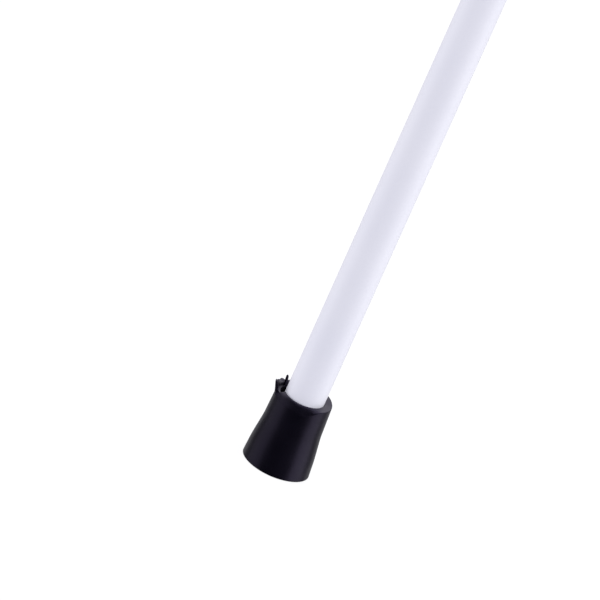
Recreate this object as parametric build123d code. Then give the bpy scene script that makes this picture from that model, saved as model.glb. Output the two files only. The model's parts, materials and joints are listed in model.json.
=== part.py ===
from build123d import *
from dataclasses import dataclass
from math import cos, radians, sin
import os

# White cane in three telescopic tubes. Each tube slides in the one above it and is held there by
# a twist lock: half a turn draws a cone into a split sleeve, which grips the bore of the tube above.
# Millimetres, +Z up along the cane, origin at the centre of the ferrule's sole. The cane is
# modelled fully extended and locked. Each sub-part goes to parts/NODE.step.


@dataclass
class Tube:
    """A round tube of the cane, from its lower end to its top."""

    radius: float
    wall: float
    low: float
    high: float

    @property
    def bore(self):
        return self.radius - self.wall


# Ferrule: a moulded rubber foot with a nearly straight sleeve above a flared skirt
FERRULE_HEIGHT = 24.85
FERRULE_RIM_RADIUS = 9.2
FERRULE_KNEE_RADIUS = 9.6
FERRULE_KNEE_HEIGHT = 14.2
FERRULE_SKIRT_RADIUS = 10.65
FERRULE_SKIRT_HEIGHT = 6.0
FERRULE_FOOT_RADIUS = 11.0
FERRULE_FOOT_LAND = 1.2
FERRULE_SOLE = 5.0
FERRULE_MOUTH_RADIUS = 6.8
FERRULE_MOUTH_DEPTH = 0.6
SOLE_GROOVES = ((3.0, 4.2), (6.4, 7.6))
SOLE_GROOVE_DEPTH = 0.8
WASHER_RADIUS = 7.2
WASHER_THICKNESS = 1.0

# Moulding flash left on the ferrule's rim: a flared lip on the -X side and a sliver behind it
FLASH_LIP_RADIUS = 10.6
FLASH_LIP_ROOT = 22.2
FLASH_LIP_TOP = 25.3
FLASH_LIP_ANGLE = 168.0
FLASH_LIP_SPAN = 36.0
SLIVER_RING_RADIUS = 8.7
SLIVER_ANGLE = 151.0
SLIVER_ROOT_RADIUS = 0.45
SLIVER_TIP_RADIUS = 0.12
SLIVER_TOP = 27.4

# Clearances
RUNNING_GAP = 0.05
SLEEVE_GAP = 0.1
LIP_GAP = 0.15
END_GAP = 0.1

# Guide bush and collar at the lower end of a tube that another slides in
BUSH_LENGTH = 36.0
COLLAR_WALL = 2.6
COLLAR_LIP = 2.0
COLLAR_LENGTH = 24.0
COLLAR_FLUTES = 18
COLLAR_FLUTE_RADIUS = 1.0
COLLAR_FLUTE_ENDS = 4.0
COLLAR_EDGE = 0.8

# Twist lock, measured up from the top of its tube
LOCK_FLANGE = 1.5
PLUG_DEPTH = 14.0
SCREW_RADIUS = 2.5
SCREW_SHANK_RADIUS = 2.0
SCREW_SHANK_DEPTH = 8.5
SCREW_NECK_RADIUS = 1.6
SLEEVE_HEIGHT = 18.0
SLEEVE_BASE = 4.5
SLEEVE_BORE_RADIUS = 3.2
SLEEVE_SLOT = 1.2
SLEEVE_SLOT_BASE = 6.0
CONE_BASE = 5.5
CONE_LENGTH = 12.0
CONE_HEAD = 2.0
CONE_TIP_RADIUS = 3.6
CONE_SETBACK = 0.4
CONE_GAP = 0.06
CONE_KEY_WIDTH = 1.0
CONE_KEY_HEIGHT = 9.0
CONE_TRAVEL = 1.0
STOP_RADIUS = 3.6
STOP_THICKNESS = 2.6
STOP_MARGIN = 0.3

# The three tubes. Each bush ends just under the lock sleeve, which is the stop of the slide.
SLIDE_GAP = 0.7
LOWER = Tube(radius=6.5, wall=1.0, low=FERRULE_SOLE + WASHER_THICKNESS, high=400.0)
BUSH_TOP = LOCK_FLANGE - END_GAP
MIDDLE = Tube(radius=8.0, wall=0.8, low=LOWER.high + BUSH_TOP - BUSH_LENGTH, high=785.0)
UPPER = Tube(radius=9.5, wall=0.8, low=MIDDLE.high + BUSH_TOP - BUSH_LENGTH, high=1186.0)

# Grip, its lower trim ring and the reflective band
GRIP_LOW = 985.0
GRIP_END_RADIUS = 12.9
GRIP_WAIST_RADIUS = 12.1
GRIP_PALM_RADIUS = 13.7
GRIP_POMMEL_RADIUS = 16.0
GRIP_POMMEL_HEIGHT = 14.0
GRIP_EDGE = 1.2
GRIP_BLEND = 10.0
GRIP_FLAT = 11.2
GRIP_FLAT_LOW = 1004.0
GRIP_FLAT_HIGH = 1160.0
RING_HEIGHT = 6.0
RING_RADIUS = 12.3
BAND_LOW = 880.0
BAND_HEIGHT = 60.0
BAND_THICKNESS = 0.2

# Top insert and the cap, with its cross hole for a wrist cord
CANE_HEIGHT = 1200.0
INSERT_DEPTH = 16.0
INSERT_FLANGE = 1.5
PEG_RADIUS = 4.0
PEG_DEPTH = 10.0
CAP_RADIUS = 15.8
CAP_SKIRT = 2.0
CAP_FLAT = 11.0
CORD_HOLE_RADIUS = 2.5
CORD_HOLE_HEIGHT = 1192.2


def lathe(*corners, arc=360.0):
    """Solid turned about Z from an outline of (radius, height) or (radius, height, fillet) corners."""
    points = [corner[:2] for corner in corners]
    fillets = [corner[2] if len(corner) == 3 else 0.0 for corner in corners]
    outline = FilletPolyline(*points, radius=fillets, close=True)
    return revolve(make_face(Plane.XZ * outline), Axis.Z, revolution_arc=arc)


def ring(inner, outer, low, high):
    """Plain ring between two radii and two heights."""
    return lathe((inner, low), (outer, low), (outer, high), (inner, high))


def rod(radius, low, high):
    """Plain round rod between two heights."""
    return lathe((0, low), (radius, low), (radius, high), (0, high))


def upright(x, y, low, high):
    """Box centred on the axis, between two heights."""
    return Pos(0, 0, (low + high) / 2) * Box(x, y, high - low)


def cane_tube(tube):
    """Tube with the burrs taken off both ends."""
    burr = 0.3
    return lathe(
        (tube.bore, tube.low),
        (tube.radius, tube.low, burr),
        (tube.radius, tube.high, burr),
        (tube.bore, tube.high),
    )


# ---------------------------------------------------------------- ferrule


def ferrule():
    """Rubber foot with its bore, the pocket for the washer, the grooved sole and the flash."""
    pocket_top = FERRULE_SOLE + WASHER_THICKNESS
    body = lathe(
        (0, 0),
        (FERRULE_FOOT_RADIUS, 0, 0.5),
        (FERRULE_FOOT_RADIUS, FERRULE_FOOT_LAND, 4.0),
        (FERRULE_SKIRT_RADIUS, FERRULE_SKIRT_HEIGHT, 60.0),
        (FERRULE_KNEE_RADIUS, FERRULE_KNEE_HEIGHT, 30.0),
        (FERRULE_RIM_RADIUS, FERRULE_HEIGHT, 0.4),
        (FERRULE_MOUTH_RADIUS, FERRULE_HEIGHT),
        (LOWER.radius, FERRULE_HEIGHT - FERRULE_MOUTH_DEPTH),
        (LOWER.radius, pocket_top),
        (WASHER_RADIUS, pocket_top),
        (WASHER_RADIUS, FERRULE_SOLE),
        (0, FERRULE_SOLE),
    )
    for inner, outer in SOLE_GROOVES:
        body -= ring(inner, outer, 0, SOLE_GROOVE_DEPTH)
    return body + flash_lip() + flash_sliver()


def flash_lip():
    """Thin lip that flares out of the rim's outer edge on the -X side."""
    inset = 0.6
    lip = lathe(
        (FERRULE_RIM_RADIUS - inset, FLASH_LIP_ROOT),
        (FERRULE_RIM_RADIUS, FLASH_LIP_ROOT),
        (FLASH_LIP_RADIUS, FLASH_LIP_TOP),
        (FLASH_LIP_RADIUS - inset, FLASH_LIP_TOP),
        (FERRULE_RIM_RADIUS - inset, FERRULE_HEIGHT - inset),
        arc=FLASH_LIP_SPAN,
    )
    return Rot(0, 0, FLASH_LIP_ANGLE - FLASH_LIP_SPAN / 2) * lip


def flash_sliver():
    """Sharp sliver of rubber that stands up from the rim."""
    root = FERRULE_HEIGHT - 0.6
    height = SLIVER_TOP - root
    angle = radians(SLIVER_ANGLE)
    place = Pos(SLIVER_RING_RADIUS * cos(angle), SLIVER_RING_RADIUS * sin(angle), root + height / 2)
    return place * Cone(SLIVER_ROOT_RADIUS, SLIVER_TIP_RADIUS, height)


def ferrule_washer():
    """Steel disc that keeps the tube from cutting through the sole."""
    return rod(WASHER_RADIUS, FERRULE_SOLE, FERRULE_SOLE + WASHER_THICKNESS)


# ---------------------------------------------------------------- sliding joints


def guide_bush(outer, inner):
    """Slippery bush fixed in the outer tube's lower end, which guides the inner tube."""
    return ring(inner.radius + RUNNING_GAP, outer.bore, outer.low, outer.low + BUSH_LENGTH)


def collar(outer, inner):
    """Fluted collar on the outer tube's lower end, with a lip under the tube and its bush."""
    bottom = outer.low - COLLAR_LIP
    top = outer.low + COLLAR_LENGTH
    radius = outer.radius + COLLAR_WALL
    body = lathe(
        (inner.radius + LIP_GAP, bottom),
        (radius, bottom, COLLAR_EDGE),
        (radius, top - COLLAR_WALL, COLLAR_EDGE),
        (outer.radius + COLLAR_EDGE, top),
        (outer.radius, top),
        (outer.radius, outer.low),
        (inner.radius + LIP_GAP, outer.low),
    )
    flute_low = bottom + COLLAR_FLUTE_ENDS
    flute_high = top - COLLAR_WALL - COLLAR_FLUTE_ENDS
    flute = Pos(0, 0, (flute_low + flute_high) / 2) * Cylinder(COLLAR_FLUTE_RADIUS, flute_high - flute_low)
    for location in PolarLocations(radius + COLLAR_FLUTE_RADIUS / 2, COLLAR_FLUTES):
        body -= location * flute
    return body


def lock_plug(tube):
    """Plug pressed into the top of a tube, with a flange over its end and a bore for the screw."""
    top = tube.high + LOCK_FLANGE
    return lathe(
        (0, tube.high - PLUG_DEPTH),
        (tube.bore, tube.high - PLUG_DEPTH, 0.8),
        (tube.bore, tube.high),
        (tube.radius, tube.high),
        (tube.radius, top, 0.3),
        (SCREW_SHANK_RADIUS, top),
        (SCREW_SHANK_RADIUS, tube.high - SCREW_SHANK_DEPTH),
        (0, tube.high - SCREW_SHANK_DEPTH),
    )


def stop_low(tube):
    """Height of the stop's underside: clear of the cone at the end of its travel."""
    cone_top = tube.high + LOCK_FLANGE + END_GAP + CONE_BASE + CONE_LENGTH + CONE_HEAD
    return cone_top + CONE_TRAVEL + STOP_MARGIN


def lock_screw(tube):
    """Screw that stands up from the plug: shank, shoulder, threaded length and neck."""
    return lathe(
        (0, tube.high - SCREW_SHANK_DEPTH),
        (SCREW_SHANK_RADIUS, tube.high - SCREW_SHANK_DEPTH),
        (SCREW_SHANK_RADIUS, tube.high + LOCK_FLANGE),
        (SCREW_RADIUS, tube.high + LOCK_FLANGE),
        (SCREW_RADIUS, stop_low(tube)),
        (SCREW_NECK_RADIUS, stop_low(tube)),
        (SCREW_NECK_RADIUS, stop_low(tube) + STOP_THICKNESS),
        (0, stop_low(tube) + STOP_THICKNESS),
    )


def lock_stop(tube):
    """Cap pressed on the screw's neck, which ends the cone's travel."""
    low = stop_low(tube)
    high = low + STOP_THICKNESS
    return lathe(
        (SCREW_NECK_RADIUS, low),
        (STOP_RADIUS, low, 0.4),
        (STOP_RADIUS, high, 0.8),
        (SCREW_NECK_RADIUS, high),
    )


def cone_slope(tube):
    """Radius that the cone gains per millimetre of height."""
    return (tube.radius - CONE_SETBACK - CONE_TIP_RADIUS) / CONE_LENGTH


def lock_sleeve(tube):
    """Split sleeve round the cone, four slots down from its top; its underside stops the slide."""
    bottom = tube.high + LOCK_FLANGE + END_GAP
    radius = tube.radius + SLIDE_GAP - SLEEVE_GAP
    seat = CONE_TIP_RADIUS + CONE_GAP
    sleeve = lathe(
        (SLEEVE_BORE_RADIUS, bottom),
        (radius, bottom, 0.4),
        (radius, bottom + SLEEVE_HEIGHT, 0.3),
        (seat + cone_slope(tube) * (SLEEVE_HEIGHT - CONE_BASE), bottom + SLEEVE_HEIGHT),
        (seat + cone_slope(tube) * (SLEEVE_BASE - CONE_BASE), bottom + SLEEVE_BASE),
        (SLEEVE_BORE_RADIUS, bottom + SLEEVE_BASE),
    )
    slot = upright(3 * radius, SLEEVE_SLOT, bottom + SLEEVE_SLOT_BASE, bottom + SLEEVE_HEIGHT + 1)
    for angle in (0, 90):
        sleeve -= Rot(0, 0, angle) * slot
    return sleeve


def lock_cone(tube):
    """Cone nut on the screw, with two keys that ride in the sleeve's slots so that it can't turn."""
    low = tube.high + LOCK_FLANGE + END_GAP + CONE_BASE
    wide = low + CONE_LENGTH
    head_radius = tube.radius - CONE_SETBACK
    cone = lathe(
        (0, low),
        (CONE_TIP_RADIUS, low),
        (head_radius, wide),
        (head_radius, wide + CONE_HEAD, 0.4),
        (0, wide + CONE_HEAD),
    )
    key_reach = tube.radius + SLIDE_GAP - 4 * SLEEVE_GAP
    cone += upright(2 * key_reach, CONE_KEY_WIDTH, wide - CONE_KEY_HEIGHT, wide)
    return cone - rod(SCREW_RADIUS + RUNNING_GAP, low - 1, wide + CONE_HEAD + 1)


# ---------------------------------------------------------------- grip end


def reflective_band():
    """Band of reflective tape round the upper tube."""
    return ring(UPPER.radius, UPPER.radius + BAND_THICKNESS, BAND_LOW, BAND_LOW + BAND_HEIGHT)


def grip_ring():
    """Trim ring on the tube, which the grip's lower end butts against."""
    return lathe(
        (UPPER.radius, GRIP_LOW - RING_HEIGHT),
        (UPPER.radius + COLLAR_EDGE, GRIP_LOW - RING_HEIGHT, 0.4),
        (RING_RADIUS, GRIP_LOW - RING_HEIGHT / 2, 1.0),
        (RING_RADIUS, GRIP_LOW),
        (UPPER.radius, GRIP_LOW),
    )


def grip():
    """Moulded rubber grip that widens towards the palm, with a flat on -Y for the index finger."""
    body = lathe(
        (UPPER.radius, GRIP_LOW),
        (GRIP_END_RADIUS, GRIP_LOW, GRIP_EDGE),
        (GRIP_END_RADIUS, GRIP_LOW + 8, GRIP_EDGE),
        (GRIP_WAIST_RADIUS, GRIP_LOW + 11, GRIP_EDGE),
        (GRIP_PALM_RADIUS, UPPER.high - 2 * GRIP_POMMEL_HEIGHT, GRIP_BLEND),
        (GRIP_POMMEL_RADIUS, UPPER.high - GRIP_POMMEL_HEIGHT / 2, GRIP_BLEND),
        (GRIP_POMMEL_RADIUS, UPPER.high, GRIP_EDGE),
        (UPPER.radius, UPPER.high),
    )
    depth = GRIP_POMMEL_RADIUS - GRIP_FLAT
    height = GRIP_FLAT_HIGH - GRIP_FLAT_LOW
    flat = Box(4 * GRIP_POMMEL_RADIUS, 2 * depth, height)
    flat = chamfer(flat.edges().filter_by(Axis.X).group_by(Axis.Y)[-1], depth * 0.9)
    return body - Pos(0, -GRIP_FLAT - depth, (GRIP_FLAT_LOW + GRIP_FLAT_HIGH) / 2) * flat


def top_insert():
    """Plug in the upper tube's top, with a flange over its end and a bore for the cap's peg."""
    top = UPPER.high + INSERT_FLANGE
    return lathe(
        (0, UPPER.high - INSERT_DEPTH),
        (UPPER.bore, UPPER.high - INSERT_DEPTH, 0.8),
        (UPPER.bore, UPPER.high),
        (UPPER.radius, UPPER.high),
        (UPPER.radius, top),
        (PEG_RADIUS, top),
        (PEG_RADIUS, top - PEG_DEPTH),
        (0, top - PEG_DEPTH),
    )


def grip_cap():
    """Domed cap pegged into the insert, with flats and a cross hole along X for a wrist cord."""
    skirt_top = UPPER.high + CAP_SKIRT
    flange_top = UPPER.high + INSERT_FLANGE
    rise = CANE_HEIGHT - skirt_top
    dome_radius = (CAP_RADIUS**2 + rise**2) / (2 * rise)
    shoulder = CAP_RADIUS / 2
    shoulder_height = CANE_HEIGHT - dome_radius + (dome_radius**2 - shoulder**2) ** 0.5
    outline = Polyline(
        (0, CANE_HEIGHT),
        (0, flange_top - PEG_DEPTH),
        (PEG_RADIUS, flange_top - PEG_DEPTH),
        (PEG_RADIUS, flange_top),
        (UPPER.radius, flange_top),
        (UPPER.radius, UPPER.high),
        (CAP_RADIUS, UPPER.high),
        (CAP_RADIUS, skirt_top),
    ) + ThreePointArc((CAP_RADIUS, skirt_top), (shoulder, shoulder_height), (0, CANE_HEIGHT))
    cap = revolve(make_face(Plane.XZ * outline), Axis.Z)
    for side in (-1, 1):
        cut = upright(CAP_RADIUS, 3 * CAP_RADIUS, skirt_top, CANE_HEIGHT + 1)
        cap -= Pos(side * (CAP_FLAT + CAP_RADIUS / 2), 0, 0) * cut
    hole = Rot(0, 90, 0) * Cylinder(CORD_HOLE_RADIUS, 3 * CAP_RADIUS)
    return cap - Pos(0, 0, CORD_HOLE_HEIGHT) * hole


def sub_parts():
    """Every sub-part by its node's name."""
    parts = {
        "ferrule": ferrule(),
        "ferrule_washer": ferrule_washer(),
        "lower_tube": cane_tube(LOWER),
        "middle_tube": cane_tube(MIDDLE),
        "upper_tube": cane_tube(UPPER),
        "reflective_band": reflective_band(),
        "grip_ring": grip_ring(),
        "grip": grip(),
        "top_insert": top_insert(),
        "grip_cap": grip_cap(),
    }
    for name, outer, inner in (("middle", MIDDLE, LOWER), ("upper", UPPER, MIDDLE)):
        parts[f"{name}_guide_bush"] = guide_bush(outer, inner)
        parts[f"{name}_collar"] = collar(outer, inner)
    for name, tube in (("lower", LOWER), ("middle", MIDDLE)):
        parts[f"{name}_lock_plug"] = lock_plug(tube)
        parts[f"{name}_lock_screw"] = lock_screw(tube)
        parts[f"{name}_lock_stop"] = lock_stop(tube)
        parts[f"{name}_lock_sleeve"] = lock_sleeve(tube)
        parts[f"{name}_lock_cone"] = lock_cone(tube)
    return parts


os.makedirs("parts", exist_ok=True)
for node, shape in sub_parts().items():
    export_step(shape, f"parts/{node}.step")
    print(f"{node}: {shape.volume:.0f} mm3")
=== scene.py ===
"""White cane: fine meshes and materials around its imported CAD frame. Metres, +Z up along the cane."""

import json
import math

import bmesh
import bpy
from mathutils import Matrix, Vector, noise

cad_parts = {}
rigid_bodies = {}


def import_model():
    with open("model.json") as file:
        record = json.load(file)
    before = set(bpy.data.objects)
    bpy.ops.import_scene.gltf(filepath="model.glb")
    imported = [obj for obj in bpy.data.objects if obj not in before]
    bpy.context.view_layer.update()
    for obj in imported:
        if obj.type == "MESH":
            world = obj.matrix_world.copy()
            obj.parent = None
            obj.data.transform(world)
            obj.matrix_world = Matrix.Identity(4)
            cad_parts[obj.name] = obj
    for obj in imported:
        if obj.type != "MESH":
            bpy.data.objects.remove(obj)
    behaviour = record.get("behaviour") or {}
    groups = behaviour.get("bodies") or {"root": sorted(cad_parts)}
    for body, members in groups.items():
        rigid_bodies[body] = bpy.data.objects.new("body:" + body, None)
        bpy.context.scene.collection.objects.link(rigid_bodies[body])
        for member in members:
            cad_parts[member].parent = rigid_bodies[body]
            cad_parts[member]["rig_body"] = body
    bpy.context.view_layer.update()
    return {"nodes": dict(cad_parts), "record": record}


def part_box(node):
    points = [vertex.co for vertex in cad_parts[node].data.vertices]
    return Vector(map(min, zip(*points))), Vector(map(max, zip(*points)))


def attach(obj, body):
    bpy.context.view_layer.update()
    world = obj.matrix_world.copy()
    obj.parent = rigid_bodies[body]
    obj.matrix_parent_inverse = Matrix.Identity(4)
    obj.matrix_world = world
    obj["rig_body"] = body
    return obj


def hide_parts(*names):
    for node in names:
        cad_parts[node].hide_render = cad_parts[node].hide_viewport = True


MM = 0.001
TAU = 2 * math.pi

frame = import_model()
nodes = frame["nodes"]


# ---------------------------------------------------------------- camera and studio

CAMERA_DISTANCE = 3.0
CAMERA_ELEVATION = math.radians(21.7)
CAMERA_ROLL = math.radians(24.13)
FIELD_WIDTH = 187.6 * MM
SENSOR_WIDTH = 36.0
AIM_HEIGHT = 53.98 * MM
AIM_SIDE = -13.9 * MM


def camera():
    """Camera in front of the ferrule and a little above it, rolled so that the cane leans to the right."""
    back = Vector((0, -math.cos(CAMERA_ELEVATION), math.sin(CAMERA_ELEVATION)))
    side = Vector((1, 0, 0))
    up = back.cross(side)
    right = side * math.cos(CAMERA_ROLL) + up * math.sin(CAMERA_ROLL)
    top = up * math.cos(CAMERA_ROLL) - side * math.sin(CAMERA_ROLL)
    place = Vector((AIM_SIDE, 0, AIM_HEIGHT)) + back * CAMERA_DISTANCE
    data = bpy.data.cameras.new("camera")
    data.sensor_width = SENSOR_WIDTH
    data.lens = SENSOR_WIDTH * CAMERA_DISTANCE / FIELD_WIDTH
    data.clip_start = 0.05
    data.clip_end = 200
    cam = bpy.data.objects.new("camera", data)
    cam.matrix_world = Matrix((
        (right.x, top.x, back.x, place.x),
        (right.y, top.y, back.y, place.y),
        (right.z, top.z, back.z, place.z),
        (0, 0, 0, 1),
    ))
    bpy.context.scene.collection.objects.link(cam)
    bpy.context.scene.camera = cam


# Lamps, in metres: name, place, height of the point on the axis that it faces, width, height and radiance.
# A wash makes no reflections and a sheen makes nothing else.
LAMPS = (
    ("softbox_right", (0.89, -0.13, 0.55), 0.55, 0.9, 2.0, 0.74),
    ("softbox_left", (-0.88, -0.18, 0.2), 0.2, 0.95, 2.6, 0.35),
    ("kicker", (0.62, -0.7, 0.42), 0.42, 0.4, 0.6, 0.35),
    ("wash_right", (0.82, 0.4, 0.2), 0.2, 0.5, 2.6, 0.45),
    ("wash_left", (-0.82, 0.4, 0.2), 0.2, 0.5, 2.6, 0.55),
    ("sheen_high", (0, 0.9, 0.75), 0.2, 2.6, 1.2, 1.1),
    ("sheen_low", (0, 0.9, -0.65), 0.2, 2.6, 1.4, 0.45),
)


def softbox(name, place, aim_height, width, height, radiance):
    """Rectangular soft light that faces a point on the cane's axis, and that the camera doesn't see."""
    data = bpy.data.lights.new(name, "AREA")
    data.shape = "RECTANGLE"
    data.size, data.size_y = width, height
    data.energy = radiance * width * height * math.pi
    lamp = bpy.data.objects.new(name, data)
    lamp.location = place
    away = Vector(place) - Vector((0, 0, aim_height))
    lamp.rotation_euler = away.to_track_quat("Z", "Y").to_euler()
    lamp.visible_camera = False
    lamp.visible_glossy = not name.startswith("wash")
    lamp.visible_diffuse = not name.startswith("sheen")
    bpy.context.scene.collection.objects.link(lamp)


def backdrop():
    """World that is white behind the object and fills its shadows, but makes no reflections of its own."""
    world = bpy.data.worlds.new("studio")
    bpy.context.scene.world = world
    world.use_nodes = True
    world.cycles_visibility.glossy = False
    tree = world.node_tree
    tree.nodes.clear()
    fill = tree.nodes.new("ShaderNodeBackground")
    fill.inputs["Color"].default_value = (0.9, 0.9, 1.0, 1)
    fill.inputs["Strength"].default_value = 0.85
    white = tree.nodes.new("ShaderNodeBackground")
    white.inputs["Color"].default_value = (1, 1, 1, 1)
    white.inputs["Strength"].default_value = 1.05
    path = tree.nodes.new("ShaderNodeLightPath")
    mix = tree.nodes.new("ShaderNodeMixShader")
    tree.links.new(path.outputs["Is Camera Ray"], mix.inputs[0])
    tree.links.new(fill.outputs[0], mix.inputs[1])
    tree.links.new(white.outputs[0], mix.inputs[2])
    out = tree.nodes.new("ShaderNodeOutputWorld")
    tree.links.new(mix.outputs[0], out.inputs["Surface"])


FLOOR_HALF = 40.0
FLOOR_DROP = 0.1 * MM


def floor():
    """White floor just under the sole. It takes a faint contact shadow, and lamps shine up through it."""
    signs = ((-1, -1), (1, -1), (1, 1), (-1, 1))
    corners = [(x * FLOOR_HALF, y * FLOOR_HALF, -FLOOR_DROP) for x, y in signs]
    mesh = bpy.data.meshes.new("floor")
    mesh.from_pydata(corners, [], [(0, 1, 2, 3)])
    plane = bpy.data.objects.new("floor", mesh)
    plane.visible_shadow = False
    plane.visible_diffuse = False
    plane.visible_glossy = False
    bpy.context.scene.collection.objects.link(plane)
    paint = bpy.data.materials.new("floor")
    paint.use_nodes = True
    mesh.materials.append(paint)
    tree = paint.node_tree
    tree.nodes.clear()
    matte = tree.nodes.new("ShaderNodeBsdfDiffuse")
    matte.inputs["Color"].default_value = (0.16, 0.16, 0.17, 1)
    glow = tree.nodes.new("ShaderNodeEmission")
    glow.inputs["Strength"].default_value = 0.9
    lifted = tree.nodes.new("ShaderNodeAddShader")
    tree.links.new(matte.outputs[0], lifted.inputs[0])
    tree.links.new(glow.outputs[0], lifted.inputs[1])
    out = tree.nodes.new("ShaderNodeOutputMaterial")
    tree.links.new(lifted.outputs[0], out.inputs["Surface"])


def studio():
    """Plain white backdrop and floor, soft light from both sides and behind, and little from in front."""
    bpy.context.scene.view_settings.view_transform = "Standard"
    backdrop()
    floor()
    for lamp in LAMPS:
        softbox(*lamp)


# ---------------------------------------------------------------- mesh helpers


# Turn of each step of an arc and the least turn that gets one, in radians, and the radius that counts as none
ARC_STEP = math.radians(7)
STRAIGHT = 1e-4
ON_AXIS = 1e-6


def rounded(corners, step):
    """Closed outline through (radius, height, fillet) corners in mm, with arcs at the fillets.

    Its runs are cut into steps, all but the last one, which closes it.
    """
    points = []
    count = len(corners)
    for i, (r, z, fillet) in enumerate(corners):
        here = Vector((r, z))
        before = Vector(corners[i - 1][:2]) - here
        after = Vector(corners[(i + 1) % count][:2]) - here
        turn = math.pi - before.angle(after)
        if fillet <= 0 or turn < STRAIGHT:
            points.append(here)
            continue
        reach = fillet * math.tan(turn / 2)
        start = here + before.normalized() * reach
        end = here + after.normalized() * reach
        arcs = max(3, math.ceil(turn / ARC_STEP))
        inward = (before.normalized() + after.normalized()).normalized()
        middle = here + inward * fillet / math.cos(turn / 2)
        a, b = start - middle, end - middle
        for k in range(arcs + 1):
            s = k / arcs
            arm = (a * math.sin((1 - s) * turn) + b * math.sin(s * turn)) / math.sin(turn)
            points.append(middle + arm)
    outline = []
    for i, p in enumerate(points):
        q = points[(i + 1) % len(points)]
        parts = max(1, math.ceil((q - p).length / step)) if i < len(points) - 1 else 1
        outline += [p.lerp(q, k / parts) for k in range(parts)]
    return outline


def finished(name, bm, sharp):
    """Object made from a bmesh in mm, with its normals outwards and its shading set."""
    bmesh.ops.recalc_face_normals(bm, faces=bm.faces)
    for edge in bm.edges:
        edge.smooth = edge.calc_face_angle(0) < math.radians(sharp)
    for face in bm.faces:
        face.smooth = True
    bmesh.ops.scale(bm, vec=(MM, MM, MM), verts=bm.verts)
    mesh = bpy.data.meshes.new(name)
    bm.to_mesh(mesh)
    bm.free()
    piece = bpy.data.objects.new(name, mesh)
    bpy.context.scene.collection.objects.link(piece)
    return piece


def lathe(name, corners, segments, step, warp=None, sharp=40.0):
    """Closed mesh turned about Z from corners in mm, a ring or a solid. warp moves each point afterwards.

    Edges that turn by less than sharp, in degrees, are shaded smooth.
    """
    outline = rounded(corners, step)
    bm = bmesh.new()
    rows = []
    for p in outline:
        if abs(p.x) < ON_AXIS:
            point = Vector((0, 0, p.y))
            rows.append([bm.verts.new(warp(point) if warp else point)] * segments)
            continue
        row = []
        for k in range(segments):
            angle = TAU * k / segments
            point = Vector((p.x * math.cos(angle), p.x * math.sin(angle), p.y))
            row.append(bm.verts.new(warp(point) if warp else point))
        rows.append(row)
    closed = abs(outline[0].x) > ON_AXIS
    for i in range(len(rows) if closed else len(rows) - 1):
        low, high = rows[i], rows[(i + 1) % len(rows)]
        for k in range(segments):
            n = (k + 1) % segments
            face = list(dict.fromkeys((low[k], low[n], high[n], high[k])))
            if len(face) > 2:
                bm.faces.new(face)
    return finished(name, bm, sharp)


def stand_for(piece, node, material):
    """Puts a mesh in a CAD node's place, on the node's own body, with the material it is given."""
    piece.data.materials.append(material)
    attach(piece, nodes[node]["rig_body"])
    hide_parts(node)


def span(node):
    """Outer radius, lowest and highest point of a CAD node, in mm."""
    low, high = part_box(node)
    return high.x / MM, low.z / MM, high.z / MM


def smooth(low, high, value):
    """0 below low, 1 above high, and a soft step between."""
    s = min(1.0, max(0.0, (value - low) / (high - low)))
    return s * s * (3 - 2 * s)


# ---------------------------------------------------------------- materials


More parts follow.
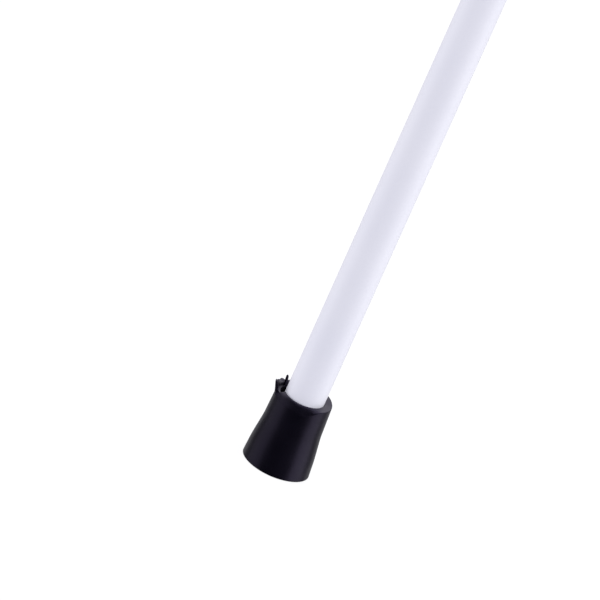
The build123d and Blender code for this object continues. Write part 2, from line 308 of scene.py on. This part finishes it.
class Shader:
    """A Principled material with short ways to add its procedural nodes."""

    def __init__(self, name, **values):
        self.material = bpy.data.materials.new(name)
        self.material.use_nodes = True
        self.tree = self.material.node_tree
        self.surface = self.tree.nodes["Principled BSDF"]
        for socket, value in values.items():
            self.surface.inputs[socket.replace("_", " ")].default_value = value
        self.place = self.tree.nodes.new("ShaderNodeTexCoord").outputs["Object"]

    def link(self, source, target):
        self.tree.links.new(source, target)

    def math(self, operation, first, second=0.0):
        node = self.tree.nodes.new("ShaderNodeMath")
        node.operation = operation
        for socket, value in zip(node.inputs, (first, second)):
            if isinstance(value, (int, float)):
                socket.default_value = value
            else:
                self.link(value, socket)
        return node.outputs[0]

    def stretched(self, x, y, z):
        """Object coordinates scaled by x, y and z."""
        node = self.tree.nodes.new("ShaderNodeMapping")
        node.inputs["Scale"].default_value = (x, y, z)
        self.link(self.place, node.inputs["Vector"])
        return node.outputs[0]

    def noise(self, scale, detail=2.0, roughness=0.5, vector=None):
        node = self.tree.nodes.new("ShaderNodeTexNoise")
        node.inputs["Scale"].default_value = scale
        node.inputs["Detail"].default_value = detail
        node.inputs["Roughness"].default_value = roughness
        self.link(vector or self.place, node.inputs["Vector"])
        return node.outputs[0]

    def cells(self, scale):
        node = self.tree.nodes.new("ShaderNodeTexVoronoi")
        node.inputs["Scale"].default_value = scale
        self.link(self.place, node.inputs["Vector"])
        return node.outputs["Distance"]

    def ramp(self, factor, first, last):
        """Colours along a factor, between two (position, colour) stops."""
        node = self.tree.nodes.new("ShaderNodeValToRGB")
        for element, (position, colour) in zip(node.color_ramp.elements, (first, last)):
            element.position = position
            element.color = (*colour, 1)
        self.link(factor, node.inputs[0])
        return node.outputs[0]

    def spread(self, factor, low, high):
        """Factor from 0 to 1 spread between two values."""
        node = self.tree.nodes.new("ShaderNodeMapRange")
        node.inputs["To Min"].default_value = low
        node.inputs["To Max"].default_value = high
        self.link(factor, node.inputs["Value"])
        return node.outputs[0]

    def mixed(self, factor, first, second):
        """A linked colour and a plain one, mixed by a factor."""
        node = self.tree.nodes.new("ShaderNodeMix")
        node.data_type = "RGBA"
        amount, colour_a, colour_b = node.inputs[0], node.inputs[6], node.inputs[7]
        self.link(factor, amount)
        self.link(first, colour_a)
        colour_b.default_value = (*second, 1)
        return node.outputs[2]

    def bump(self, height, distance, strength, under=None):
        """Bump of a height in metres, over another bump if one is given."""
        node = self.tree.nodes.new("ShaderNodeBump")
        node.inputs["Distance"].default_value = distance
        node.inputs["Strength"].default_value = strength
        self.link(height, node.inputs["Height"])
        if under:
            self.link(under, node.inputs["Normal"])
        return node.outputs[0]

    def paint(self, colour, rough, normal):
        """Links the surface's colour, roughness and bump, and returns the material."""
        for source, socket in ((colour, "Base Color"), (rough, "Roughness"), (normal, "Normal")):
            self.link(source, self.surface.inputs[socket])
        return self.material


def white_coat():
    """Satin white powder coat with a fine orange peel."""
    s = Shader("white_powder_coat", Specular_IOR_Level=0.3)
    cloudy = s.noise(30, 3)
    colour = s.ramp(cloudy, (0.3, (0.825, 0.826, 0.869)), (0.7, (0.855, 0.853, 0.884)))
    rough = s.spread(s.noise(90, 3), 0.32, 0.42)
    peel = s.noise(520, 2, 0.4)
    return s.paint(colour, rough, s.bump(peel, 0.00003, 0.5))


def ferrule_rubber():
    """Black moulded rubber, satin, with a faint bloom and a fine mould grain."""
    s = Shader("ferrule_rubber", Specular_IOR_Level=0.7, Specular_Tint=(0.7, 0.6, 1.0, 1))
    bloom = s.noise(120, 4, 0.6)
    colour = s.ramp(bloom, (0.3, (0.0025, 0.0021, 0.0052)), (0.75, (0.0042, 0.0035, 0.0078)))
    rough = s.spread(s.noise(300, 4, 0.65), 0.3, 0.44)
    drawn = s.bump(s.noise(260, 3, 0.5, s.stretched(1, 1, 0.12)), 0.00006, 0.4)
    grain = s.bump(s.noise(2600, 2, 0.6), 0.00001, 0.5, drawn)
    return s.paint(colour, rough, grain)


def grip_rubber():
    """Black golf-grip rubber, dry and slightly dusty in patches."""
    s = Shader("grip_rubber", Specular_IOR_Level=0.3)
    dust = s.noise(60, 5, 0.6)
    colour = s.ramp(dust, (0.35, (0.012, 0.012, 0.013)), (0.8, (0.028, 0.027, 0.027)))
    rough = s.spread(s.noise(400, 3), 0.55, 0.75)
    return s.paint(colour, rough, s.bump(s.noise(1800, 3, 0.6), 0.00003, 0.6))


def black_plastic():
    """Moulded black plastic with a spark-eroded texture."""
    s = Shader("black_plastic", Specular_IOR_Level=0.45)
    colour = s.ramp(s.noise(140, 3), (0.3, (0.014, 0.014, 0.016)), (0.8, (0.024, 0.024, 0.026)))
    rough = s.spread(s.noise(700, 3, 0.6), 0.4, 0.6)
    return s.paint(colour, rough, s.bump(s.cells(2200), 0.00004, 0.5))


def bush_plastic():
    """Natural acetal, cream white and slightly waxy."""
    s = Shader("natural_acetal", Subsurface_Weight=0.1, Subsurface_Scale=0.002)
    colour = s.ramp(s.noise(80, 3), (0.3, (0.74, 0.73, 0.68)), (0.75, (0.82, 0.81, 0.77)))
    rough = s.spread(s.noise(500, 2), 0.35, 0.5)
    return s.paint(colour, rough, s.bump(s.noise(900, 2), 0.00002, 0.4))


def cone_plastic():
    """Glass-filled grey nylon with swirls in its surface."""
    s = Shader("grey_nylon")
    swirl = s.noise(220, 5, 0.65)
    colour = s.ramp(swirl, (0.3, (0.2, 0.205, 0.22)), (0.75, (0.32, 0.325, 0.34)))
    rough = s.spread(s.noise(900, 3), 0.45, 0.65)
    return s.paint(colour, rough, s.bump(swirl, 0.00003, 0.5))


def zinc_steel():
    """Zinc-plated steel with turning marks round its axis."""
    s = Shader("zinc_plated_steel", Metallic=1.0)
    marks = s.noise(1, 3, 0.6, s.stretched(60, 60, 9000))
    colour = s.ramp(s.noise(150, 4), (0.3, (0.5, 0.5, 0.52)), (0.75, (0.66, 0.66, 0.66)))
    rough = s.spread(marks, 0.24, 0.42)
    return s.paint(colour, rough, s.bump(marks, 0.000008, 0.6))


# The tape's cells: how many go round it, and where their seams start, from 0 in the middle to 0.5 at the edge
TAPE_CELLS_ROUND = 16
TAPE_CELL_EDGE = 0.45


def reflective_tape():
    """Silver-white prismatic tape: a honeycomb of pale seams over small cells speckled with painted glints.
    """
    s = Shader("reflective_tape", Metallic=0.35, Coat_Weight=0.6, Coat_Roughness=0.08)
    split = s.tree.nodes.new("ShaderNodeSeparateXYZ")
    s.link(s.place, split.inputs[0])
    radius = span("reflective_band")[0] * MM
    pitch = TAU * radius / TAPE_CELLS_ROUND
    bearing = s.math("ARCTAN2", split.outputs["Y"], split.outputs["X"])
    round_way = s.math("MULTIPLY", bearing, radius / pitch)
    up_way = s.math("DIVIDE", split.outputs["Z"], pitch)

    def hexagon(shift):
        """Distance from the nearest centre of one of the two grids that make a honeycomb."""
        root = math.sqrt(3)
        u = s.math("ADD", round_way, shift)
        v = s.math("ADD", up_way, shift * root)
        across = s.math("ABSOLUTE", s.math("SUBTRACT", s.math("FLOORED_MODULO", u, 1.0), 0.5))
        along = s.math("ABSOLUTE", s.math("SUBTRACT", s.math("FLOORED_MODULO", v, root), root / 2))
        slant = s.math("ADD", s.math("MULTIPLY", across, 0.5), s.math("MULTIPLY", along, root / 2))
        return s.math("MAXIMUM", across, slant)

    cell = s.math("MINIMUM", hexagon(0.0), hexagon(0.5))
    seam = s.math("GREATER_THAN", cell, TAPE_CELL_EDGE)
    # Painted glints: the cells' colour is speckled light and dark, as if the prisms caught the light
    painted_glint = s.ramp(s.cells(2600), (0.1, (0.5, 0.52, 0.56)), (0.6, (0.82, 0.83, 0.86)))
    colour = s.mixed(seam, painted_glint, (0.86, 0.86, 0.88))
    rough = s.spread(seam, 0.22, 0.5)
    return s.paint(colour, rough, s.bump(seam, 0.00006, 0.6))


MATERIALS = {
    "white_coat": white_coat,
    "ferrule_rubber": ferrule_rubber,
    "grip_rubber": grip_rubber,
    "black_plastic": black_plastic,
    "bush_plastic": bush_plastic,
    "cone_plastic": cone_plastic,
    "steel": zinc_steel,
    "reflective_tape": reflective_tape,
}


# ---------------------------------------------------------------- pieces

# The tubes, in mm
TUBE_WALLS = {"lower_tube": 1.0, "middle_tube": 0.8, "upper_tube": 0.8}
TUBE_SEGMENTS = 128
TUBE_STEP = 12.0


def tube(node, material):
    """Straight coated tube with rolled edges at both ends."""
    radius, low, high = span(node)
    bore = radius - TUBE_WALLS[node]
    corners = [(bore, low, 0.15), (radius, low, 0.3), (radius, high, 0.3), (bore, high, 0.15)]
    stand_for(lathe("white_" + node, corners, TUBE_SEGMENTS, TUBE_STEP), node, material)


# The ferrule, in mm
FERRULE_HEIGHT = 25.0
FERRULE_FOOT = 11.2
FERRULE_SOLE = 5.0
FERRULE_POCKET = 7.2
FERRULE_BORE = 6.5
FERRULE_MOUTH = 6.7
FERRULE_SEGMENTS = 240
FERRULE_STEP = 0.45

# Its faults, in mm and in degrees anticlockwise from the right. A root is the height where a fault starts,
# radii are where it grows from nothing to full, and a fade is where it ends, as a part of its half span.
SKEW = 0.012
SKEW_MIDDLE = 12
WAVER = 0.004
RIM_TILT = 0.055
RIM_TILT_ROOT = 12.0
FRONT_ANGLE = -113.0
FRONT_HALF_SPAN = 74.0
FRONT_FADE = (0.45, 1.0)
FRONT_DROP = 2.0
FRONT_WIDTH = 2.5
FRONT_CURVE = 1.6
FRONT_ROOT = 16.0
PEAK_ANGLE = 42.0
PEAK_HALF_SPAN = 42.0
PEAK_RISE = 0.4
PEAK_ROOT = 18.0
EDGE_WEAR = 0.25
EDGE_WEAR_TOP = 3.0
EDGE_WEAR_RADII = (8.0, 10.9)

# The lip of flash on its rim, and the torn mouth inside the lip
FLASH_ANGLE = 171.0
FLASH_HALF_SPAN = 27.0
FLASH_FRONT_FADE = (0.6, 1.15)
FLASH_BACK_FADE = (0.86, 1.0)
FLASH_RADII = (7.8, 8.9)
FLASH_HEIGHT = 1.5
FLASH_REACH = 1.3
FLASH_RISE = 0.68
FLASH_SLOPE = 3.6
RAGGED_SCALE = 4.3
RAGGED_RISE = 0.18
RAGGED_REACH = 0.1
TEAR_FADE = (1.0, 1.3)
TEAR_RADII = (7.2, 8.8)
TEAR_GAP = 1.2
TEAR_DEPTH = 0.9
TEAR_LIP = FERRULE_HEIGHT - 3.0
TEAR_ROOT = FERRULE_HEIGHT - 6.0

# The sliver of flash behind it
SLIVER_ANGLE = 151.0
SLIVER_RADIUS = 8.2
SLIVER_FOOT = FERRULE_HEIGHT - 1.5
SLIVER_HEIGHT = 27.7
SLIVER_LEAN = 0.6
SLIVER_BOW = 0.1
SLIVER_HALF_WIDTH = 0.62
SLIVER_TAPER = 0.22
SLIVER_FLATNESS = 0.7
SLIVER_CROWN = 0.86
SLIVER_POINT = 0.9
SLIVER_RINGS = 12
SLIVER_SIDES = 16


def turn_from(angle, middle):
    """Degrees from one bearing to another, between -180 and 180."""
    return (angle - middle + 180) % 360 - 180


def ferrule_warp(point):
    """Moves a point of the perfect ferrule to where the faults of moulding and wear put it."""
    radius = math.hypot(point.x, point.y)
    if radius < 1:
        return point
    angle = math.degrees(math.atan2(point.y, point.x))
    height = point.z

    # The rim is higher at the back, worn down in front and peaked at the right, and the foot's edge is worn
    point.z += smooth(RIM_TILT_ROOT, FERRULE_HEIGHT, height) * RIM_TILT * point.y
    front = 1 - smooth(*FRONT_FADE, abs(turn_from(angle, FRONT_ANGLE)) / FRONT_HALF_SPAN)
    fall = max(0.0, (radius - FERRULE_MOUTH) / FRONT_WIDTH) ** FRONT_CURVE
    point.z -= FRONT_DROP * front * smooth(FRONT_ROOT, FERRULE_HEIGHT, height) * fall
    peak = 1 - smooth(0.0, 1.0, abs(turn_from(angle, PEAK_ANGLE)) / PEAK_HALF_SPAN)
    point.z += PEAK_RISE * peak * smooth(PEAK_ROOT, FERRULE_HEIGHT, height)
    worn = max(0.0, point.x / radius) * smooth(*EDGE_WEAR_RADII, radius)
    point.z += EDGE_WEAR * worn * (1 - smooth(0.0, EDGE_WEAR_TOP, height))

    # The lip grows out and up from the rim, most at its front end, and the mouth inside it is torn
    turn = turn_from(angle, FLASH_ANGLE) / FLASH_HALF_SPAN
    side = 1 - (smooth(*FLASH_FRONT_FADE, turn) if turn > 0 else smooth(*FLASH_BACK_FADE, -turn))
    ragged = noise.noise(Vector((turn * RAGGED_SCALE, 3.0, 0.0)))
    lip = side * max(0.0, 1 - (FERRULE_HEIGHT - height) / FLASH_HEIGHT) * smooth(*FLASH_RADII, radius)
    tear = (1 - smooth(*TEAR_FADE, abs(turn))) * (1 - smooth(*TEAR_RADII, radius))
    point.z += lip * (FLASH_RISE * max(0.0, 1 + FLASH_SLOPE * turn) + RAGGED_RISE * ragged)
    point.z -= tear * TEAR_DEPTH * smooth(TEAR_LIP, FERRULE_HEIGHT, height)
    out = 1 + lip * (FLASH_REACH + RAGGED_REACH * ragged) / radius
    out += tear * TEAR_GAP * smooth(TEAR_ROOT, TEAR_LIP, height) / radius

    # The whole of it wavers a little in radius and leans to the left
    out += WAVER * noise.noise(Vector((point.x * 0.12, point.y * 0.12, height * 0.05)))
    return Vector((point.x * out - SKEW * (height - SKEW_MIDDLE), point.y * out, point.z))


def ferrule(material):
    """Rubber foot: grooved sole, flared skirt, straight sleeve, uneven rim and the bore for the tube."""
    corners = [
        (0, 0, 0),
        (3.0, 0, 0.15), (3.0, 0.8, 0.15), (4.2, 0.8, 0.15), (4.2, 0, 0.15),
        (6.4, 0, 0.15), (6.4, 0.8, 0.15), (7.6, 0.8, 0.15), (7.6, 0, 0.15),
        (FERRULE_FOOT, 0, 0.2),
        (11.12, 1.2, 1.5),
        (10.81, 6.0, 60.0),
        (9.77, 14.2, 30.0),
        (9.31, FERRULE_HEIGHT, 0.25),
        (FERRULE_MOUTH, FERRULE_HEIGHT, 0.1),
        (FERRULE_BORE, FERRULE_HEIGHT - 0.6, 0.3),
        (FERRULE_BORE, 6.0, 0),
        (FERRULE_POCKET, 6.0, 0),
        (FERRULE_POCKET, FERRULE_SOLE, 0),
        (0, FERRULE_SOLE, 0),
    ]
    piece = lathe("rubber_ferrule", corners, FERRULE_SEGMENTS, FERRULE_STEP, ferrule_warp)
    stand_for(piece, "ferrule", material)


def sliver(material):
    """Sharp sliver of flash that stands up from the rim, flat and a little bowed."""
    angle = math.radians(SLIVER_ANGLE)
    foot = Vector((SLIVER_RADIUS * math.cos(angle), SLIVER_RADIUS * math.sin(angle), SLIVER_FOOT))
    bm = bmesh.new()
    rows = []
    for i in range(SLIVER_RINGS + 1):
        s = i / SLIVER_RINGS
        crown = max(0.0, (s - SLIVER_CROWN) / (1 - SLIVER_CROWN))
        half = (SLIVER_HALF_WIDTH - SLIVER_TAPER * s) * math.sqrt(1 - crown ** 2 * SLIVER_POINT)
        centre = foot + Vector((-SLIVER_LEAN * s, SLIVER_BOW * math.sin(3 * s), s * (SLIVER_HEIGHT - foot.z)))
        row = []
        for k in range(SLIVER_SIDES):
            around = TAU * k / SLIVER_SIDES
            arm = Vector((half * math.cos(around), SLIVER_FLATNESS * half * math.sin(around), 0))
            row.append(bm.verts.new(centre + arm))
        rows.append(row)
    for low, high in zip(rows, rows[1:]):
        for k in range(SLIVER_SIDES):
            n = (k + 1) % SLIVER_SIDES
            bm.faces.new((low[k], low[n], high[n], high[k]))
    bm.faces.new(rows[0][::-1])
    bm.faces.new(rows[-1])
    piece = finished("ferrule_sliver", bm, 180)
    piece.data.materials.append(material)
    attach(piece, nodes["ferrule"]["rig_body"])


# The grip's flat and its pattern of slots, in mm. The margins are from its bottom and its top.
FLAT_MARGINS = (19, 26)
PATTERN_MARGINS = (15, 23)
GRIP_FLAT = 11.2
GRIP_FLAT_RAMP = 4.3
FLAT_BEAD = 0.12
FLAT_BEAD_HALF = 0.6
PATTERN_FADE = (0.3, 1.4)
GRIP_CORE = 1.2
GRIP_SEGMENTS = 240
GRIP_STEP = 0.72
SLOT_PITCH = 5.6
SLOTS_ROUND = 15
SLOT_LENGTH = 2.7
SLOT_DEPTH = 0.5
SLOT_LEAN = 0.27
SLOT_END_COLUMN = 0.35
SLOT_FLOOR = 1.6
SLOT_EDGE = 2.9


def slot_depth(angle, height):
    """Depth of the herringbone slots, on a grid whose columns twist() leans with them."""
    column = TAU / GRIP_SEGMENTS
    pitch = TAU / SLOTS_ROUND
    across = ((angle / pitch + 0.5 * (height // SLOT_PITCH % 2)) % 1 - 0.5) * pitch / column
    along = max(0.0, abs(height % SLOT_PITCH - SLOT_PITCH / 2) - SLOT_LENGTH / 2) / SLOT_END_COLUMN
    return SLOT_DEPTH * (1 - smooth(SLOT_FLOOR, SLOT_EDGE, math.hypot(across, along)))


def twist(height):
    """Turn of the grip's surface, one way and back in each two rows of slots, in radians."""
    return SLOT_LEAN * abs(height / SLOT_PITCH % 2 - 1)


def grip(material):
    """Golf-style rubber grip: herringbone slots round it, a plain flat for the finger, ribs at both ends."""
    radius, _, top = span("upper_tube")
    bottom = span("grip_ring")[2]
    flat_low, flat_high = bottom + FLAT_MARGINS[0], top - FLAT_MARGINS[1]
    first_row = math.ceil((bottom + PATTERN_MARGINS[0]) / SLOT_PITCH)
    rows = range(first_row, int((top - PATTERN_MARGINS[1]) / SLOT_PITCH))

    def warp(point):
        """Cuts the slots, leans them, and flattens the front, with a fine bead round the flat."""
        r = math.hypot(point.x, point.y)
        if r < radius + GRIP_CORE:
            return point
        angle = math.atan2(point.y, point.x)
        flat_here = min(1.0, max(0.0, (point.z - flat_low) / GRIP_FLAT_RAMP))
        flat_here = min(flat_here, max(0.0, (flat_high - point.z) / GRIP_FLAT_RAMP))
        limit = GRIP_FLAT + GRIP_FLAT_RAMP * (1 - flat_here)
        from_flat = limit + r * math.sin(angle + twist(point.z))
        pattern = smooth(*PATTERN_FADE, from_flat) if flat_here > 0 else 1
        if point.z // SLOT_PITCH in rows:
            r -= slot_depth(angle, point.z) * pattern
        angle += twist(point.z)
        x, y = r * math.cos(angle), r * math.sin(angle)
        if flat_here > 0:
            bead = FLAT_BEAD * max(0.0, 1 - abs(from_flat) / FLAT_BEAD_HALF) ** 2
            y = max(y, -limit) + bead
        return Vector((x, y, point.z))

    corners = [
        (radius, bottom, 0),
        (12.9, bottom, 1.0),
        (12.9, bottom + 2.4, 0.3), (12.5, bottom + 2.8, 0.2),
        (12.5, bottom + 3.4, 0.2), (12.9, bottom + 3.8, 0.3),
        (12.9, bottom + 6.0, 0.3), (12.5, bottom + 6.4, 0.2),
        (12.5, bottom + 7.0, 0.2), (12.9, bottom + 7.4, 0.3),
        (12.9, bottom + 8.4, 0.6),
        (12.1, bottom + 11, 1.2),
        (13.7, top - 28, 10),
        (15.9, top - 8, 8),
        (15.9, top - 4.6, 0.3), (15.5, top - 4.2, 0.2), (15.5, top - 3.6, 0.2), (15.95, top - 3.2, 0.3),
        (15.95, top, 1.0),
        (radius, top, 0),
    ]
    stand_for(lathe("rubber_grip", corners, GRIP_SEGMENTS, GRIP_STEP, warp, 50), "grip", material)


# The tape's thickness and the step of its lap, in mm, and the lap's span, in degrees from the back
TAPE = 0.2
LAP_STEP = 0.18
LAP_SPAN = 22
TAPE_SEGMENTS = 160
TAPE_STEP = 2.0


def band(material):
    """Wrapped tape with a stepped seam where its end laps over its start."""
    radius, low, high = span("reflective_band")
    inner = radius - TAPE

    def lap(point):
        """Lifts the outer face where the tape lies on its own start."""
        angle = (math.degrees(math.atan2(point.y, point.x)) - 90) % 360
        outer = math.hypot(point.x, point.y) > inner + TAPE / 2
        grow = 1 + LAP_STEP * (1 - smooth(0, LAP_SPAN, angle)) / radius if outer else 1
        return Vector((point.x * grow, point.y * grow, point.z))

    corners = [(inner, low, 0), (radius, low, 0.08), (radius, high, 0.08), (inner, high, 0)]
    piece = lathe("reflective_wrap", corners, TAPE_SEGMENTS, TAPE_STEP, lap)
    stand_for(piece, "reflective_band", material)


def dress():
    """Builds every piece and gives each CAD node that stays its material."""
    made = {slot: build() for slot, build in MATERIALS.items()}
    for node in TUBE_WALLS:
        tube(node, made["white_coat"])
    ferrule(made["ferrule_rubber"])
    sliver(made["ferrule_rubber"])
    band(made["reflective_tape"])
    grip(made["grip_rubber"])
    for row in frame["record"]["subparts"]:
        mesh = nodes[row["node"]].data
        mesh.materials.clear()
        mesh.materials.append(made[row["material_slot"]])


camera()
studio()
dress()
